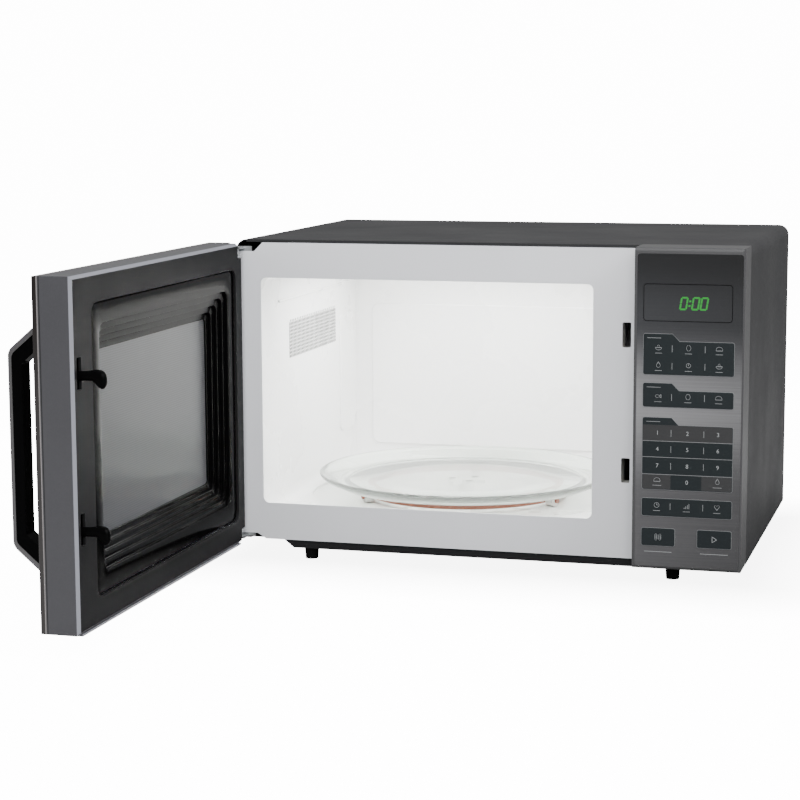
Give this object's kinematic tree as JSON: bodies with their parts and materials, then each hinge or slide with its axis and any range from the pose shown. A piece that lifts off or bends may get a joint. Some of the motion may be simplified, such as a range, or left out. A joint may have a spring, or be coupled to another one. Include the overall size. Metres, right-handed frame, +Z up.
{
  "type": "microwave oven",
  "caption": "Countertop microwave oven with a side-hinged door on a strap handle, a glass turntable, a control panel and the generator inside.",
  "frame": {"origin": "centre of the front left foot's contact face, on the worktop", "axes": "+Z up, -Y towards the user, +X to the user's right; the door is stored open a quarter turn, on the left"},
  "size_m": [0.572, 0.7694, 0.33],
  "materials": {
    "dark_painted_steel": "fine satin",
    "light_painted_steel": "satin",
    "cream_enamel": "gloss",
    "galvanised_steel": "satin",
    "grey_plastic": "satin",
    "dark_plastic": "satin",
    "black_gloss_plastic": "gloss",
    "silver_trim": "satin metallic",
    "panel_film": "satin",
    "dark_glass": "polished",
    "clear_glass": "polished",
    "white_plastic": "satin",
    "brown_plastic": "satin",
    "mica": "matt",
    "rubber_black": "matt",
    "circuit_board": "satin",
    "copper_winding": "gloss",
    "bare_aluminium": "satin",
    "ferrite": "matt",
    "screw_steel": "satin",
    "ceramic_body": "matt"
  },
  "bodies": {
    "cabinet": {"outer_wrap": "dark_painted_steel", "casing_screws": "screw_steel", "back_panel": "galvanised_steel", "base_plate": "dark_painted_steel", "feet": "rubber_black", "cord_inlet": "dark_plastic", "front_plate": "light_painted_steel", "cavity_box": "cream_enamel", "waveguide_cover": "mica", "turntable_motor": "galvanised_steel", "motor_screws": "screw_steel", "upper_hinge": "galvanised_steel", "lower_hinge": "galvanised_steel", "control_housing": "grey_plastic", "control_fascia": "panel_film", "display_lens": "dark_glass", "keypad_membrane": "panel_film", "control_board": "circuit_board", "display_module": "dark_plastic", "relays": "dark_plastic", "latch_board": "white_plastic", "door_switches": "dark_plastic", "waveguide": "galvanised_steel", "magnetron_yoke": "galvanised_steel", "magnetron_magnets": "ferrite", "magnetron_tube": "bare_aluminium", "filter_box": "galvanised_steel", "transformer_core": "galvanised_steel", "primary_coil": "copper_winding", "secondary_coil": "copper_winding", "high_voltage_capacitor": "bare_aluminium", "capacitor_strap": "galvanised_steel", "high_voltage_diode": "dark_plastic", "fan_frame": "white_plastic", "fan_motor": "galvanised_steel", "lamp_socket": "white_plastic", "lamp_bulb": "clear_glass", "filter_board": "circuit_board", "thermal_cutout": "ceramic_body"},
    "door": {"door_surround": "grey_plastic", "door_inner_frame": "dark_plastic", "door_choke_panel": "galvanised_steel", "choke_cover": "black_gloss_plastic", "door_inner_pane": "dark_glass", "door_front_panel": "black_gloss_plastic", "door_outer_window": "dark_glass", "handle_skin": "silver_trim", "handle_body": "black_gloss_plastic", "handle_screws": "screw_steel", "latch_guides": "dark_plastic", "latch_spring": "screw_steel"},
    "latch": {"latch_lever": "black_gloss_plastic"},
    "turntable_drive": {"drive_coupler": "white_plastic", "turntable_spindle": "white_plastic"},
    "plate": {"glass_plate": "clear_glass"},
    "ring": {"roller_ring": "brown_plastic"},
    "roller_a": {"roller_1": "white_plastic"},
    "roller_b": {"roller_2": "white_plastic"},
    "roller_c": {"roller_3": "white_plastic"},
    "fan": {"fan_blade": "white_plastic"}
  },
  "joints": [
    {"name": "door_hinge", "type": "hinge", "parent": "cabinet", "child": "door", "pos_m": [-0.068, -0.027, 0.17], "axis": [0, 0, -1], "range_deg": [-90, 10]},
    {"name": "latch_slide", "type": "slide", "parent": "door", "child": "latch", "axis": [0, 0, 1], "range_m": [0, 0.006], "stiffness_N_per_m": 150, "springref_m": -0.004, "deforming": ["latch_spring"]},
    {"name": "turntable_spin", "type": "hinge", "parent": "cabinet", "child": "turntable_drive", "pos_m": [0.12475, 0.1526, 0.05], "axis": [0, 0, 1], "continuous": true},
    {"name": "plate_lift", "type": "slide", "parent": "turntable_drive", "child": "plate", "axis": [0, 0, 1], "range_m": [0, 0.12]},
    {"name": "ring_spin", "type": "hinge", "parent": "cabinet", "child": "ring", "pos_m": [0.12475, 0.1526, 0.05125], "axis": [0, 0, 1], "continuous": true},
    {"name": "roller_a_spin", "type": "hinge", "parent": "ring", "child": "roller_a", "pos_m": [0.22943, 0.11031, 0.05125], "axis": [0.9272, -0.3746, 0], "continuous": true},
    {"name": "roller_b_spin", "type": "hinge", "parent": "ring", "child": "roller_b", "pos_m": [0.10904, 0.2644, 0.05125], "axis": [-0.1392, 0.9903, 0], "continuous": true},
    {"name": "roller_c_spin", "type": "hinge", "parent": "ring", "child": "roller_c", "pos_m": [0.03578, 0.08309, 0.05125], "axis": [-0.788, -0.6157, 0], "continuous": true},
    {"name": "fan_spin", "type": "hinge", "parent": "cabinet", "child": "fan", "pos_m": [0.379, 0.318, 0.165], "axis": [0, 1, 0], "continuous": true}
  ],
  "couplings": [
    {"joint": "ring_spin", "follows": "turntable_spin", "ratio": 0.5},
    {"joint": "roller_a_spin", "follows": "turntable_spin", "ratio": -8.363},
    {"joint": "roller_b_spin", "follows": "turntable_spin", "ratio": -8.363},
    {"joint": "roller_c_spin", "follows": "turntable_spin", "ratio": -8.363}
  ]
}
